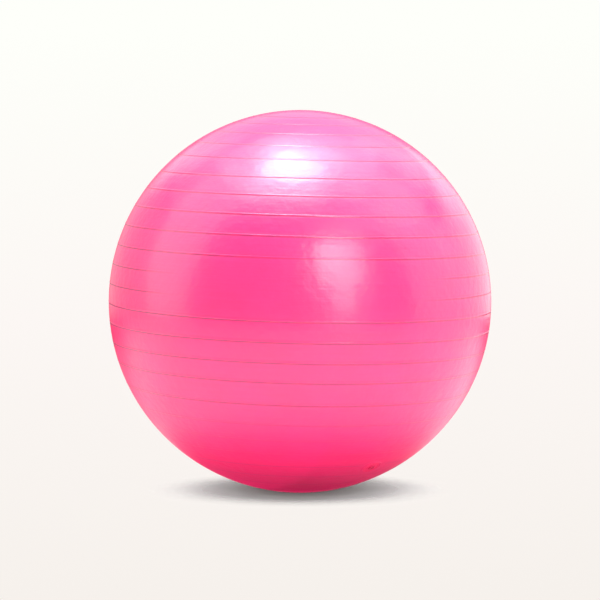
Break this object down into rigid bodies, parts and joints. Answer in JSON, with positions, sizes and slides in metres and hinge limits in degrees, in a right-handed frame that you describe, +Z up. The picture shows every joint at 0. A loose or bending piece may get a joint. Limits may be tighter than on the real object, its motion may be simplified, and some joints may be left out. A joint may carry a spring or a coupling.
{
  "type": "exercise ball",
  "caption": "Inflated exercise ball with fine raised grip ribs, a valve low on its front and a push-in plug that slides out of the valve.",
  "frame": {"origin": "on the floor, in the middle of the flat patch that the ball stands on", "axes": "+Z up through the ball's centre; the front, where the valve is, faces -Y; +X to the right as seen from the front"},
  "size_m": [0.6503, 0.6506, 0.6477],
  "materials": {
    "skin": "satin",
    "valve_seat": "satin",
    "air_plug": "satin"
  },
  "bodies": {
    "ball": {"ball_shell": "skin", "valve_seat": "valve_seat"},
    "plug": {"air_plug": "air_plug"}
  },
  "joints": [
    {"name": "plug_pull", "type": "slide", "parent": "ball", "child": "plug", "axis": [0.3614, -0.4657, -0.8078], "range_m": [0, 0.024]}
  ]
}
